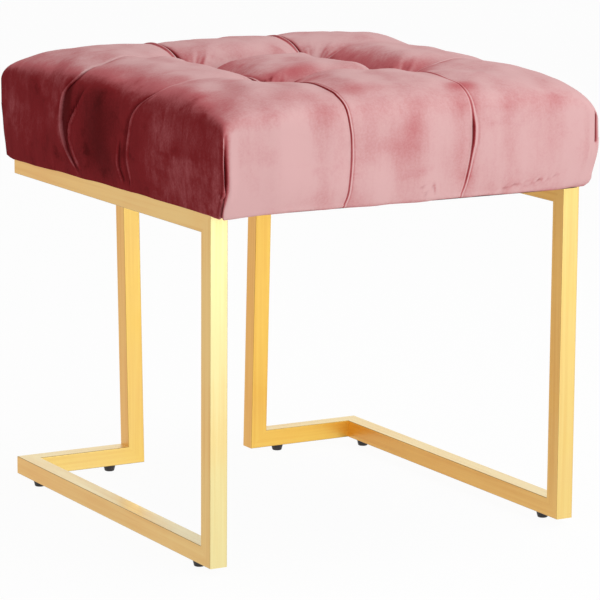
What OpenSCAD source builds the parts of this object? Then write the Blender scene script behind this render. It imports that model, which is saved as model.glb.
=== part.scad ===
// Upholstered stool: a tufted cushion on a frame of two mirrored loops of square tube.
// Millimetres, Z up, X along the front, Y towards the back.
// The origin lies on the floor below the middle of the cushion.

/* [Frame] */

// outside width of the frame, across the front
frame_w = 466; // [420:1:560]

// outside depth of the frame, front to back
frame_d = 488; // [440:1:600]

// height of the frame, from the underside of the floor rails to the top of the seat rails
frame_h = 383; // [280:1:520]

// side of the square tube
tube = 21; // [16:0.5:25]

// wall of the square tube
wall = 1.5; // [1:0.1:2.5]

// radius on the long edges of the tube
tube_edge = 0.8; // [0.5:0.1:2.5]

// distance from the side of the frame to the back leg, at the floor
leg_in_floor = 138; // [100:1:160]

// distance from the side of the frame to the back leg, under the seat
leg_in_seat = 131; // [100:1:160]

/* [Glides] */

// height of a glide pad below the rail when it is screwed fully in
pad_h = 8; // [5:0.5:12]

// diameter of a glide pad at the top
pad_d = 15; // [12:0.5:16]

// diameter of a glide pad at the floor
pad_foot_d = 12; // [8:0.5:12]

// distance from the front of the frame to the front glides
glide_front = 44; // [30:1:80]

// distance from the back of the frame to the corner glides
glide_back = 40; // [30:1:80]

// distance from the side of the frame to the glides by the back legs
glide_leg = 117; // [80:1:120]

// diameter of the glide stud and of all seat screws
stud_d = 6; // [4:0.5:6]

// length of a glide stud above its pad
stud_l = 13; // [10:0.5:13]

/* [Cushion] */

// how far the cushion stands out over each side of the frame
over_side = 6; // [2:0.5:14]

// how far the cushion stands out over the front of the frame
over_front = 41; // [10:1:60]

// how far the cushion stands out over the back of the frame
over_back = 32; // [10:1:60]

// height of the cushion, from the seat rails to the crown that its fields rise towards
cushion_h = 143; // [120:1:160]

// height of the widest part of the cushion above the seat rails
belly_h = 56; // [40:1:60]

// how far the sides are drawn in at the bottom
draw_in = 9; // [4:0.5:9]

// how far the upright corners are pulled in, as a share of the half width
corner_pull = 0.018; // [0.01:0.002:0.08]

// how full the top corners are: a higher value makes them squarer
corner_full = 2; // [0.5:0.5:4]

// how far the middle of the top, held down by the tufts, lies below the crown
middle_down = 15; // [0:1:20]

// share of the half size at which the tufts stand, on both ways
tuft_at = 0.333; // [0.3:0.01:0.37]

// depth of a tuft below the crown around it
tuft_deep = 50; // [20:1:52]

// depth of the creases that run from tuft to tuft
crease_deep = 26; // [4:1:28]

// share of that depth which the creases keep between the outer tufts and the edge
crease_out = 0.35; // [0.2:0.05:0.8]

// depth of the creases down the sides
side_crease = 4; // [1:0.5:5]

// thickness of the velvet with its backing
velvet = 1.4; // [1:0.1:2]

// thickness of the wadding under the velvet
wadding = 4; // [2:0.5:5]

/* [Board] */

// thickness of the plywood seat board
board_t = 15; // [12:1:18]

// width of the velvet turned under the board
hem = 27; // [15:1:27]

/* [Hidden] */

// free space between soft layers
soft_gap = 0.35;
// free space around a stud or screw in a plain hole
hole_gap = 0.5;
// thickness of the dust cover under the board
dust_t = 0.6;
// size of a welded seat tab: length along the rail, reach inwards, thickness
tab_l = 40;
tab_out = 34;
tab_t = 3;
// middle of the hole in a tab, measured from the rail
tab_hole = 18;
// middle of a tab along its rail: from the front, from the back, and from the side of the frame
tab_front = 90;
tab_back = 130;
tab_side = 75;
// seat screw and washer
screw_l = 20;
head_d = 11;
head_h = 4;
washer_d = 14;
washer_t = 1.5;
// tee nut in the board
tee_d = 19;
tee_t = 1.4;
tee_barrel = 8.4;
tee_l = 9;
// insert in the floor rail that takes the glide stud
insert_d = 9;
insert_l = 10;
insert_rim_d = 12;
insert_rim_t = 1;
// tuft button, twine and the disc that holds the twine below the board
button_d = 13;
button_h = 4;
twine_d = 2;
disc_d = 16;
disc_t = 1.2;
// staples that hold the dust cover
staple_w = 10;
staple_wire = 0.8;
staple_leg = 8;
staple_pitch = 60;

// level of the rails and of the seat
rail_z = pad_h;
seat_z = rail_z + frame_h;
half_w = frame_w / 2;
front_y = (over_front - over_back - frame_d) / 2;
back_y = front_y + frame_d;
mid = tube / 2;

// plan and levels of the cushion
cush_x = half_w + over_side;
cush_y = (frame_d + over_front + over_back) / 2;
dust_z = seat_z + dust_t;
belly_z = seat_z + belly_h;
crown_z = seat_z + cushion_h;
board_z = dust_z + velvet + soft_gap;
board_top = board_z + board_t;
layer_in = velvet + soft_gap;
core_in = layer_in + wadding + soft_gap;
board_in = core_in + side_crease;
// half the width of a tuft's flat bottom, as a share of the half size
tuft_half = 0.033;
flat_z = top_z(tuft_at - tuft_half, tuft_at - tuft_half, 0);

// axis corners of the loop on one side, s = -1 left and 1 right, in the order in which the tube runs
function corner(s, i) =
    i == 0 ? [s * (half_w - mid), front_y + mid, seat_z - mid] :
    i == 1 ? [s * (half_w - mid), front_y + mid, rail_z + mid] :
    i == 2 ? [s * (half_w - mid), back_y - mid, rail_z + mid] :
    i == 3 ? [s * (half_w - leg_in_floor - mid), back_y - mid, rail_z + mid] :
    i == 4 ? [s * (half_w - leg_in_seat - mid), back_y - mid, seat_z - mid] :
    [s * (half_w - mid), back_y - mid, seat_z - mid];

function unit(v) = v / norm(v);
function along(s, i) = unit(corner(s, (i + 1) % 6) - corner(s, (i + 6) % 6));

// square with rounded corners, centred
module tube_outline() {
    inner = tube - 2 * tube_edge;
    square([tube, inner], center = true);
    square([inner, tube], center = true);
    for (x = [-1, 1], y = [-1, 1])
        translate([x * inner / 2, y * inner / 2])
            circle(r = tube_edge);
}

// everything on the far side of a plane through p with the outward direction n
module beyond(p, n) {
    side = 6 * tube;
    translate(p)
        rotate([0, acos(n[2]), atan2(n[1], n[0])])
            translate([-side / 2, -side / 2, 0])
                cube(side);
}

// one length of the loop, mitred at both ends against its neighbours
module loop_tube(s, i) {
    p = corner(s, i);
    d = along(s, i);
    run = norm(corner(s, (i + 1) % 6) - p) + 4 * tube;
    difference() {
        translate(p)
            rotate(abs(d[1]) > 0.5 ? [-90 * sign(d[1]), 0, 0] : [0, atan2(d[0], d[2]), 0])
                translate([0, 0, -2 * tube])
                    linear_extrude(run)
                        difference() {
                            tube_outline();
                            square(tube - 2 * wall, center = true);
                        }
        beyond(p, -unit(along(s, i - 1) + d));
        beyond(corner(s, (i + 1) % 6), unit(d + along(s, (i + 1) % 6)));
    }
}

// where the glides stand on one side, and the names of the three places
function glide_at(s, k) =
    k == 0 ? [s * (half_w - mid), front_y + glide_front, 0] :
    k == 1 ? [s * (half_w - mid), back_y - glide_back, 0] :
    [s * (half_w - glide_leg), back_y - mid, 0];

// holes for the rivet inserts in the underside of the floor rails
module insert_holes(s) {
    for (k = [0:2])
        translate(glide_at(s, k) + [0, 0, rail_z - 1])
            cylinder(d = insert_d + 2 * 0.05, h = wall + 2);
}

module floor_tube(s, i) {
    difference() {
        loop_tube(s, i);
        insert_holes(s);
    }
}

// middle of each tab hole on one side
function tab_at(s, k) =
    k == 0 ? [s * (half_w - tube - tab_hole), front_y + tab_front, seat_z] :
    k == 1 ? [s * (half_w - tube - tab_hole), back_y - tab_back, seat_z] :
    [s * (half_w - tab_side), back_y - tube - tab_hole, seat_z];

// flat steel tabs welded to the inner side of the seat rails, level with their tops
module seat_tabs(s) {
    for (k = [0:2])
        difference() {
            if (k < 2)
                translate([s * (half_w - tube - tab_out / 2), tab_at(s, k)[1], seat_z - tab_t / 2])
                    cube([tab_out, tab_l, tab_t], center = true);
            else
                translate([tab_at(s, k)[0], back_y - tube - tab_out / 2, seat_z - tab_t / 2])
                    cube([tab_l, tab_out, tab_t], center = true);
            translate(tab_at(s, k) - [0, 0, tab_t + 1])
                cylinder(d = stud_d + hole_gap, h = tab_t + 2);
        }
}

module at_tabs() {
    for (s = [-1, 1], k = [0:2])
        translate(tab_at(s, k))
            children();
}

module at_glides() {
    for (s = [-1, 1], k = [0:2])
        translate(glide_at(s, k))
            children();
}

// flanged insert: rim under the rail wall, barrel inside the tube
module insert_shape() {
    difference() {
        union() {
            translate([0, 0, rail_z + wall])
                cylinder(d = insert_rim_d, h = insert_rim_t);
            translate([0, 0, rail_z])
                cylinder(d = insert_d, h = insert_l);
        }
        translate([0, 0, rail_z - 1])
            cylinder(d = stud_d + 0.1, h = insert_l + 2);
    }
}

// tapered pad with a rounded lower edge, on a stud that screws into the rail
module pad_shape() {
    round_r = 1.5;
    foot = pad_foot_d / 2;
    rotate_extrude()
        polygon(concat(
            [[0, 0], [foot - round_r, 0]],
            [for (a = [15:15:75]) [foot - round_r + round_r * sin(a), round_r - round_r * cos(a)]],
            [[foot, round_r], [pad_d / 2, pad_h - 0.4], [pad_d / 2, pad_h], [stud_d / 2, pad_h],
                [stud_d / 2, pad_h - 5], [0, pad_h - 5]]));
}

module stud_shape() {
    translate([0, 0, pad_h - 5])
        cylinder(d = stud_d, h = stud_l + 5);
}

module one_pad(s, k) {
    translate(glide_at(s, k))
        color([0.09, 0.08, 0.09])
            pad_shape();
}

module one_stud(s, k) {
    translate(glide_at(s, k))
        color([0.70, 0.70, 0.72])
            stud_shape();
}

// share of a crease at q: 1 on the line of the tufts, falling to 0 within the reach r
function crease(q, r) = exp(-pow((abs(q) - tuft_at) / r, 2));

// height of the cushion top at (u, v), both from -1 to 1, for a surface lying g inside the outer one:
// a rounded profile each way, joined so that the corners stay full
function profile(q) = pow(max(0, 1 - q * q), 1 / 6.5);
function dome(u, v) =
    let (a = profile(u), b = profile(v))
    a * b == 0 ? 0 : pow(pow(a, -corner_full) + pow(b, -corner_full) - 1, -1 / corner_full);
// share of its depth that a crease keeps at q along its own line
function kept(q) =
    let (past = max(0, abs(q) - tuft_at) / 0.15)
    crease_out + (1 - crease_out) * exp(-past * past);
// 1 on the flat bottom of a tuft, falling to 0 around it
function tuft(u, v) = min(1, 1.35 * crease(u, 0.12) * crease(v, 0.12));
// depth of the creases and tufts together at (u, v)
function dent(u, v) =
    let (cu = crease(u, 0.075) * kept(v), cv = crease(v, 0.075) * kept(u))
    max(crease_deep * max(cu, cv), tuft_deep * tuft(u, v));
// how far the middle lies lower at (u, v): a flat hollow that ends before the edges and at the tufts
function hollow(u, v) =
    middle_down * pow(max(0, 1 - u * u / 0.64), 2) * pow(max(0, 1 - v * v / 0.5), 2) * (1 - tuft(u, v));
function top_z(u, v, g) =
    let (edge = min(1, 6 * (1 - max(abs(u), abs(v)))))
    belly_z + (crown_z - g - belly_z) * dome(u, v) - edge * dent(u, v) - hollow(u, v);

// plan position of (u, v): a rectangle whose corners are pulled in, t = 1 at the belly, 0 at the board
function plan_x(u, v, g, t) =
    (cush_x - g - draw_in * pow(1 - t, 2.5)) * u * (1 - corner_pull * pow(abs(v), 9));
function plan_y(u, v, g, t) =
    (cush_y - g - draw_in * pow(1 - t, 2.5)) * v * (1 - corner_pull * pow(abs(u), 9));

// lines of the grid over the top
steps = [0, 0.48 * tuft_at, tuft_at - tuft_half, tuft_at + tuft_half, 0.5, 0.7, 0.87, 0.965, 1];
lines = concat([for (i = [8:-1:1]) -steps[i]], steps);
count = 16;
rim = 4 * count;

// grid place of point j on the outline of the top, anticlockwise from the front left corner
function rim_uv(j) =
    j < count ? [lines[j], -1] :
    j < 2 * count ? [1, lines[j - count]] :
    j < 3 * count ? [lines[3 * count - j], 1] :
    [-1, lines[4 * count - j]];

// number in the point list of outline point j on the top grid
function rim_index(j) =
    let (k = j % rim)
    k < count ? k :
    k < 2 * count ? count + (k - count) * (count + 1) :
    k < 3 * count ? (count + 1) * (count + 1) - 1 - (k - 2 * count) :
    (4 * count - k) * (count + 1);

// all points of one surface, g inside the outer one: the top grid, then rings down the side
function surface_points(g, levels) = concat(
    [for (j = [0:count], i = [0:count])
        let (u = lines[i], v = lines[j])
        [plan_x(u, v, g, 1), plan_y(u, v, g, 1), top_z(u, v, g)]],
    [for (t = levels, j = [0:rim - 1])
        let (p = rim_uv(j), u = p[0], v = p[1],
            sunk = side_crease * (1 - t) * (abs(u) == 1 ? crease(v, 0.05) : crease(u, 0.05)))
        [plan_x(u, v, g + sunk, t), plan_y(u, v, g + sunk, t),
            dust_z + g + (belly_z - dust_z - g) * t]]);

grid_faces = [for (j = [0:count - 1], i = [0:count - 1], h = [0, 1])
    let (a = j * (count + 1) + i, b = a + 1, c = a + count + 2, d = a + count + 1)
    h == 0 ? [a, c, b] : [a, d, c]];

function first_of(ring) = (count + 1) * (count + 1) + (ring - 1) * rim;
function ring_index(ring, j) = ring == 0 ? rim_index(j) : first_of(ring) + j % rim;
function side_faces(rings) = [for (r = [0:rings - 1], j = [0:rim - 1], h = [0, 1])
    let (a = ring_index(r, j), b = ring_index(r, j + 1),
        c = ring_index(r + 1, j + 1), d = ring_index(r + 1, j))
    h == 0 ? [a, b, c] : [a, c, d]];

function shifted(faces, by) = [for (f = faces) [for (k = f) k + by]];
function turned(faces) = [for (f = faces) [f[0], f[2], f[1]]];

side_levels = [0.6, 0.25, 0];

// edge of the turned hem at a given level, reach inside the outer surface at the board
function hem_points(g, z) = [for (j = [0:rim - 1])
    let (p = rim_uv(j))
    [plan_x(p[0], p[1], hem, 0), plan_y(p[0], p[1], hem, 0), z]];

// closed skin between the surfaces at g0 and g1; with a hem it turns in under the board
module skin(g0, g1, base0, base1) {
    outer = concat(surface_points(g0, side_levels), base0);
    inner = concat(surface_points(g1, side_levels), base1);
    total = len(outer);
    last = len(side_levels) + (len(base0) > 0 ? 1 : 0);
    faces = concat(grid_faces, side_faces(last));
    rims = [for (j = [0:rim - 1], h = [0, 1])
        let (a = ring_index(last, j), b = ring_index(last, j + 1))
        h == 0 ? [a, b, b + total] : [a, b + total, a + total]];
    polyhedron(concat(outer, inner),
        concat(faces, turned(shifted(faces, total)), rims));
}

// closed body below the surface at g, flat at the level z
module core(g, z) {
    low = (z - dust_z - g) / (belly_z - dust_z - g);
    levels = [0.6, low];
    points = surface_points(g, levels);
    rings = len(levels);
    bottom = [for (j = [1:rim - 2]) [ring_index(rings, 0), ring_index(rings, j), ring_index(rings, j + 1)]];
    polyhedron(points, concat(grid_faces, side_faces(rings), turned(bottom)));
}

function tuft_xy(a, b) = [a * cush_x * tuft_at, b * cush_y * tuft_at, 0];

module at_tufts() {
    for (a = [-1, 1], b = [-1, 1])
        translate(tuft_xy(a, b))
            children();
}

// narrow hole for the twine, from below the board to above the tuft
module twine_holes() {
    at_tufts()
        translate([0, 0, seat_z])
            cylinder(d = twine_d + 1, h = flat_z - seat_z + 5, $fn = 8);
}

module velvet_shell() {
    difference() {
        skin(0, velvet, hem_points(0, dust_z), hem_points(velvet, dust_z + velvet));
        twine_holes();
    }
}

module wadding_shell() {
    difference() {
        skin(layer_in, layer_in + wadding, [], []);
        twine_holes();
    }
}

module foam_shape() {
    difference() {
        core(core_in, board_top);
        twine_holes();
    }
}

// plate with the outline of the cushion at the board, a given distance inside it
module plate(inset, z, t) {
    translate([0, 0, z])
        linear_extrude(t)
            polygon([for (j = [0:rim - 1])
                let (p = rim_uv(j))
                [plan_x(p[0], p[1], inset, 0), plan_y(p[0], p[1], inset, 0)]]);
}

module board_shape() {
    difference() {
        plate(board_in, board_z, board_t);
        at_tabs()
            translate([0, 0, board_z - seat_z - 1])
                cylinder(d = tee_barrel + 0.1, h = board_t + 2);
        at_tabs()
            translate([0, 0, board_top - seat_z - tee_t])
                cylinder(d = tee_d + 0.2, h = tee_t + 1);
        at_tufts()
            translate([0, 0, board_z - 1])
                cylinder(d = twine_d + 1, h = board_t + 2);
        staple_legs(0.1);
    }
}

// rows of staples along the dust cover, clear of the rails and tabs
row_side = half_w - tube - tab_out - 8;
row_back = back_y - tube - tab_out - 8;
row_front = -cush_y + draw_in + hem + 12;
row_mid = (row_back + row_front) / 2;
nx = floor(2 * (row_side - 15) / staple_pitch);
ny = floor((row_back - row_front - 30) / staple_pitch);

module at_staples() {
    for (y = [row_front, row_back], i = [0:nx])
        translate([(i - nx / 2) * staple_pitch, y, 0])
            children();
    for (s = [-1, 1], i = [0:ny])
        translate([s * row_side, row_mid + (i - ny / 2) * staple_pitch, 0])
            rotate([0, 0, 90])
                children();
}

module staple_legs(gap) {
    w = staple_wire + 2 * gap;
    at_staples()
        for (s = [-1, 1])
            translate([s * (staple_w - staple_wire) / 2 - w / 2, -w / 2, seat_z - 1])
                cube([w, w, board_z + staple_leg + gap - seat_z + 1]);
}

module staple_shape() {
    low = seat_z - staple_wire;
    at_staples() {
        translate([-staple_w / 2, -staple_wire / 2, low])
            cube([staple_w, staple_wire, staple_wire]);
        for (s = [-1, 1])
            translate([s * (staple_w - staple_wire) / 2 - staple_wire / 2, -staple_wire / 2, low])
                cube([staple_wire, staple_wire, board_z + staple_leg - low]);
    }
}

module dust_shape() {
    difference() {
        plate(draw_in, seat_z, dust_t);
        at_tabs()
            translate([0, 0, -1])
                cylinder(d = stud_d + hole_gap, h = dust_t + 2);
        staple_legs(0.1);
    }
}

module left_front_leg() color([0.83, 0.66, 0.36]) loop_tube(-1, 0);
module left_floor_rail() color([0.83, 0.66, 0.36]) floor_tube(-1, 1);
module left_back_floor_rail() color([0.83, 0.66, 0.36]) floor_tube(-1, 2);
module left_back_leg() color([0.83, 0.66, 0.36]) loop_tube(-1, 3);
module left_back_seat_rail() color([0.83, 0.66, 0.36]) loop_tube(-1, 4);
module left_seat_rail() color([0.83, 0.66, 0.36]) loop_tube(-1, 5);
module right_front_leg() color([0.83, 0.66, 0.36]) loop_tube(1, 0);
module right_floor_rail() color([0.83, 0.66, 0.36]) floor_tube(1, 1);
module right_back_floor_rail() color([0.83, 0.66, 0.36]) floor_tube(1, 2);
module right_back_leg() color([0.83, 0.66, 0.36]) loop_tube(1, 3);
module right_back_seat_rail() color([0.83, 0.66, 0.36]) loop_tube(1, 4);
module right_seat_rail() color([0.83, 0.66, 0.36]) loop_tube(1, 5);
module left_seat_tabs() color([0.83, 0.66, 0.36]) seat_tabs(-1);
module right_seat_tabs() color([0.83, 0.66, 0.36]) seat_tabs(1);
module glide_inserts() color([0.70, 0.70, 0.72]) at_glides() insert_shape();
module left_front_pad() one_pad(-1, 0);
module left_corner_pad() one_pad(-1, 1);
module left_leg_pad() one_pad(-1, 2);
module right_front_pad() one_pad(1, 0);
module right_corner_pad() one_pad(1, 1);
module right_leg_pad() one_pad(1, 2);
module left_front_stud() one_stud(-1, 0);
module left_corner_stud() one_stud(-1, 1);
module left_leg_stud() one_stud(-1, 2);
module right_front_stud() one_stud(1, 0);
module right_corner_stud() one_stud(1, 1);
module right_leg_stud() one_stud(1, 2);

// pan head screws that come up through the tabs
module seat_screws() {
    color([0.70, 0.70, 0.72])
        at_tabs() {
            translate([0, 0, -tab_t - washer_t - head_h])
                cylinder(d = head_d, h = head_h);
            translate([0, 0, -tab_t - washer_t])
                cylinder(d = stud_d, h = screw_l);
        }
}

module seat_washers() {
    color([0.70, 0.70, 0.72])
        at_tabs()
            translate([0, 0, -tab_t - washer_t])
                difference() {
                    cylinder(d = washer_d, h = washer_t);
                    translate([0, 0, -1])
                        cylinder(d = stud_d + 0.2, h = washer_t + 2);
                }
}

module tee_nuts() {
    color([0.70, 0.70, 0.72])
        at_tabs()
            difference() {
                union() {
                    translate([0, 0, board_top - seat_z - tee_t])
                        cylinder(d = tee_d, h = tee_t);
                    translate([0, 0, board_top - seat_z - tee_l])
                        cylinder(d = tee_barrel, h = tee_l);
                }
                translate([0, 0, board_top - seat_z - tee_l - 1])
                    cylinder(d = stud_d + 0.1, h = tee_l + 2);
            }
}

module seat_board() color([0.80, 0.66, 0.46]) board_shape();
module foam_block() color([0.92, 0.88, 0.74]) foam_shape();
module wadding_layer() color([0.95, 0.95, 0.94]) wadding_shell();
module velvet_cover() color([0.74, 0.44, 0.47]) velvet_shell();

// small covered buttons at the bottom of the tufts
module tuft_buttons() {
    color([0.62, 0.32, 0.36])
        at_tufts()
            translate([0, 0, flat_z + 0.3])
                difference() {
                    cylinder(d = button_d, h = button_h);
                    translate([0, 0, -1])
                        cylinder(d = twine_d + 0.1, h = 1 + button_h / 2);
                }
}

module tuft_twines() {
    color([0.90, 0.88, 0.82])
        at_tufts()
            translate([0, 0, dust_z + 0.1])
                cylinder(d = twine_d, h = flat_z + 0.3 + button_h / 2 - dust_z - 0.1);
}

// thin discs below the board that the twines are tied to
module tuft_discs() {
    color([0.15, 0.15, 0.16])
        at_tufts()
            translate([0, 0, board_z - disc_t])
                difference() {
                    cylinder(d = disc_d, h = disc_t);
                    translate([0, 0, -1])
                        cylinder(d = twine_d + 0.1, h = disc_t + 2);
                }
}

module dust_cover() color([0.12, 0.12, 0.13]) dust_shape();
module dust_staples() color([0.70, 0.70, 0.72]) staple_shape();

left_front_leg();
left_floor_rail();
left_back_floor_rail();
left_back_leg();
left_back_seat_rail();
left_seat_rail();
right_front_leg();
right_floor_rail();
right_back_floor_rail();
right_back_leg();
right_back_seat_rail();
right_seat_rail();
left_seat_tabs();
right_seat_tabs();
glide_inserts();
left_front_pad();
left_front_stud();
left_corner_pad();
left_corner_stud();
left_leg_pad();
left_leg_stud();
right_front_pad();
right_front_stud();
right_corner_pad();
right_corner_stud();
right_leg_pad();
right_leg_stud();
seat_screws();
seat_washers();
tee_nuts();
seat_board();
foam_block();
wadding_layer();
velvet_cover();
tuft_buttons();
tuft_twines();
tuft_discs();
dust_cover();
dust_staples();
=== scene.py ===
import math
import bpy
import numpy as np
from mathutils import Matrix, Vector


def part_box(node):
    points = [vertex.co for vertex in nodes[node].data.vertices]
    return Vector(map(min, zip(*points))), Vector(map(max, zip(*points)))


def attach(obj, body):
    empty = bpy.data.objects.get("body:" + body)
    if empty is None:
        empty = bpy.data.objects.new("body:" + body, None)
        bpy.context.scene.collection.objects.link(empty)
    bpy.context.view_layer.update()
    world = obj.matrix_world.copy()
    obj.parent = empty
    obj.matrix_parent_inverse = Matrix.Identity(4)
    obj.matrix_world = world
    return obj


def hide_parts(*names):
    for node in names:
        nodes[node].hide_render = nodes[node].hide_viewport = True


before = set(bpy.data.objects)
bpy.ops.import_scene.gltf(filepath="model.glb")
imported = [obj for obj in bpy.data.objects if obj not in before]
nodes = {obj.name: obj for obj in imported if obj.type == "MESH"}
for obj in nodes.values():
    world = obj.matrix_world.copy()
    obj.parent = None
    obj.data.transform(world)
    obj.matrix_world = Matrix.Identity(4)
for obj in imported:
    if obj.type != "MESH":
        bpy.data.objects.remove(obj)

scene = bpy.context.scene
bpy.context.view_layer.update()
mm = 0.001
print("stage: frame loaded,", len(nodes), "nodes")

cameraSet = {
    "place": (-1.8417, -3.2543, 0.9536),
    "right": (0.86951, -0.49388, 0.00642),
    "up": (0.08712, 0.16615, 0.98224),
    "back": (-0.48617, -0.85351, 0.18750),
    "focalPixels": 3307.76,  # for an image 600 pixels wide
    "imageWidth": 600,
    "sensor": 36.0,
    "nearest": 0.1,
    "farthest": 200.0,
}


def makeCamera(s):
    data = bpy.data.cameras.new("camera")
    data.sensor_width = s["sensor"]
    data.lens = s["sensor"] * s["focalPixels"] / s["imageWidth"]
    data.clip_start = s["nearest"]
    data.clip_end = s["farthest"]
    camera = bpy.data.objects.new("camera", data)
    scene.collection.objects.link(camera)
    turn = Matrix((s["right"], s["up"], s["back"])).transposed()
    camera.matrix_world = Matrix.Translation(s["place"]) @ turn.to_4x4()
    scene.camera = camera


# a socket that takes part in Python expressions: each operator adds one Math node
class Wire:
    def __init__(self, graph, socket):
        self.graph, self.socket = graph, socket

    def maths(self, kind, other, swap=False):
        pair = (other, self) if swap else (self, other)
        return self.graph.add("ShaderNodeMath", {"operation": kind}, dict(enumerate(pair)))

    def __add__(self, other):
        return self.maths("ADD", other)

    def __radd__(self, other):
        return self.maths("ADD", other, True)

    def __sub__(self, other):
        return self.maths("SUBTRACT", other)

    def __rsub__(self, other):
        return self.maths("SUBTRACT", other, True)

    def __mul__(self, other):
        return self.maths("MULTIPLY", other)

    def __rmul__(self, other):
        return self.maths("MULTIPLY", other, True)

    def most(self, other):
        return self.maths("MAXIMUM", other)

    def least(self, other):
        return self.maths("MINIMUM", other)

    # 0 below low, 1 above high, smooth between
    def ramp(self, low, high, toLow=0.0, toHigh=1.0):
        return self.graph.add("ShaderNodeMapRange", {"interpolation_type": "SMOOTHSTEP"},
                              {"Value": self, "From Min": low, "From Max": high,
                               "To Min": toLow, "To Max": toHigh})


class Graph:
    def __init__(self, tree):
        self.tree = tree
        tree.nodes.clear()

    # any node: its type, its settings, the values or links of its sockets, and the output wanted
    def add(self, kind, settings=None, inputs=None, out=0):
        node = self.tree.nodes.new(kind)
        for name, value in (settings or {}).items():
            setattr(node, name, value)
        for name, value in (inputs or {}).items():
            if isinstance(value, Wire):
                self.tree.links.new(value.socket, node.inputs[name])
            else:
                node.inputs[name].default_value = value
        return Wire(self, node.outputs[out]) if len(node.outputs) else node

    def blend(self, share, first, second):
        return self.tint(share, first, second, "MIX")

    def tint(self, share, first, second, kind):
        return self.add("ShaderNodeMix", {"data_type": "RGBA", "blend_type": kind},
                        {0: share, 6: first, 7: second}, 2)

    # the three numbers of a vector
    def parts(self, vector):
        first = self.add("ShaderNodeSeparateXYZ", {}, {0: vector})
        return [Wire(self, output) for output in first.socket.node.outputs]

    def place(self):
        return self.add("ShaderNodeTexCoord", out="Object")

    def facing(self):
        return self.add("ShaderNodeTexCoord", out="Normal")

    def mark(self, name, out="Fac"):
        return self.add("ShaderNodeAttribute", {"attribute_name": name}, {}, out)

    def ray(self, kind):
        return self.add("ShaderNodeLightPath", out="Is " + kind + " Ray")

    def stretch(self, where, scale, turn=(0, 0, 0)):
        return self.add("ShaderNodeMapping", {}, {"Vector": where, "Scale": scale, "Rotation": turn})

    def noise(self, where, scale, detail=3.0, rough=0.55, twist=0.0):
        return self.add("ShaderNodeTexNoise", {}, {"Vector": where, "Scale": scale, "Detail": detail,
                                                   "Roughness": rough, "Distortion": twist})

    def bump(self, height, strength, reach):
        return self.add("ShaderNodeBump", {}, {"Height": height, "Strength": strength, "Distance": reach})

    def surface(self, inputs):
        shader = self.add("ShaderNodeBsdfPrincipled", {}, inputs)
        self.add("ShaderNodeOutputMaterial", {}, {"Surface": shader})


def newMaterial(name):
    material = bpy.data.materials.new(name)
    material.use_nodes = True
    return material, Graph(material.node_tree)


def colour(r, g, b):  # from 0 to 255 as seen on screen
    shares = [c / 255 for c in (r, g, b)]
    return tuple(((c + 0.055) / 1.055) ** 2.4 if c > 0.0404 else c / 12.92 for c in shares) + (1.0,)


def meshPiece(name, points, faces):
    mesh = bpy.data.meshes.new(name)
    mesh.from_pydata([tuple(p) for p in np.asarray(points).tolist()], [], [tuple(f) for f in faces])
    mesh.update()
    piece = bpy.data.objects.new(name, mesh)
    scene.collection.objects.link(piece)
    return piece


lightSet = {
    "worldStrength": 0.55,
    "lamps": {  # place, aim, width, height, watts
        "frontLamp": ((0.40, -2.25, 0.95), (0.0, 0.0, 0.30), 1.6, 1.6, 24.0),
        "topLamp": ((0.75, -0.3, 2.5), (0.0, 0.0, 0.45), 1.4, 1.4, 18.0),
    },
    "white": (1.0, 1.0, 1.0, 1.0),
    "floorHalf": 40.0,
    "floorGrey": 0.9,
    "floorGlow": 0.95,  # share of plain white that the camera and reflections see, so shadows stay
}


def makeWorld(s):
    world = bpy.data.worlds.new("studio")
    scene.world = world
    world.use_nodes = True
    g = Graph(world.node_tree)
    seen = g.ray("Camera").most(g.ray("Glossy")).most(g.ray("Transmission"))
    strength = s["worldStrength"] + (1.0 - s["worldStrength"]) * seen
    sky = g.add("ShaderNodeBackground", {}, {"Color": s["white"], "Strength": strength})
    g.add("ShaderNodeOutputWorld", {}, {"Surface": sky})


def makeLamps(s):
    for name, (place, aim, width, height, watts) in s["lamps"].items():
        data = bpy.data.lights.new(name, "AREA")
        data.shape = "RECTANGLE"
        data.size = width
        data.size_y = height
        data.energy = watts
        lamp = bpy.data.objects.new(name, data)
        scene.collection.objects.link(lamp)
        away = Vector(place) - Vector(aim)
        lamp.visible_camera = False
        lamp.matrix_world = Matrix.Translation(place) @ away.to_track_quat("Z", "Y").to_matrix().to_4x4()


def makeFloor(s):
    h = s["floorHalf"]
    floor = meshPiece("floor", np.array([[-h, -h, 0], [h, -h, 0], [h, h, 0], [-h, h, 0.0]]), [(0, 1, 2, 3)])
    material, g = newMaterial("paleFloor")
    matt = g.add("ShaderNodeBsdfDiffuse", {}, {"Color": (s["floorGrey"],) * 3 + (1.0,)})
    glow = g.add("ShaderNodeEmission", {}, {"Color": s["white"], "Strength": 1.0})
    share = g.ray("Camera").most(g.ray("Glossy")) * s["floorGlow"]
    both = g.add("ShaderNodeMixShader", {}, {0: share, 1: matt, 2: glow})
    g.add("ShaderNodeOutputMaterial", {}, {"Surface": both})
    floor.data.materials.append(material)


scene.view_settings.view_transform = "Standard"
makeCamera(cameraSet)
makeWorld(lightSet)
makeLamps(lightSet)
makeFloor(lightSet)
print("stage: camera, lamps and floor")

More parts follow.
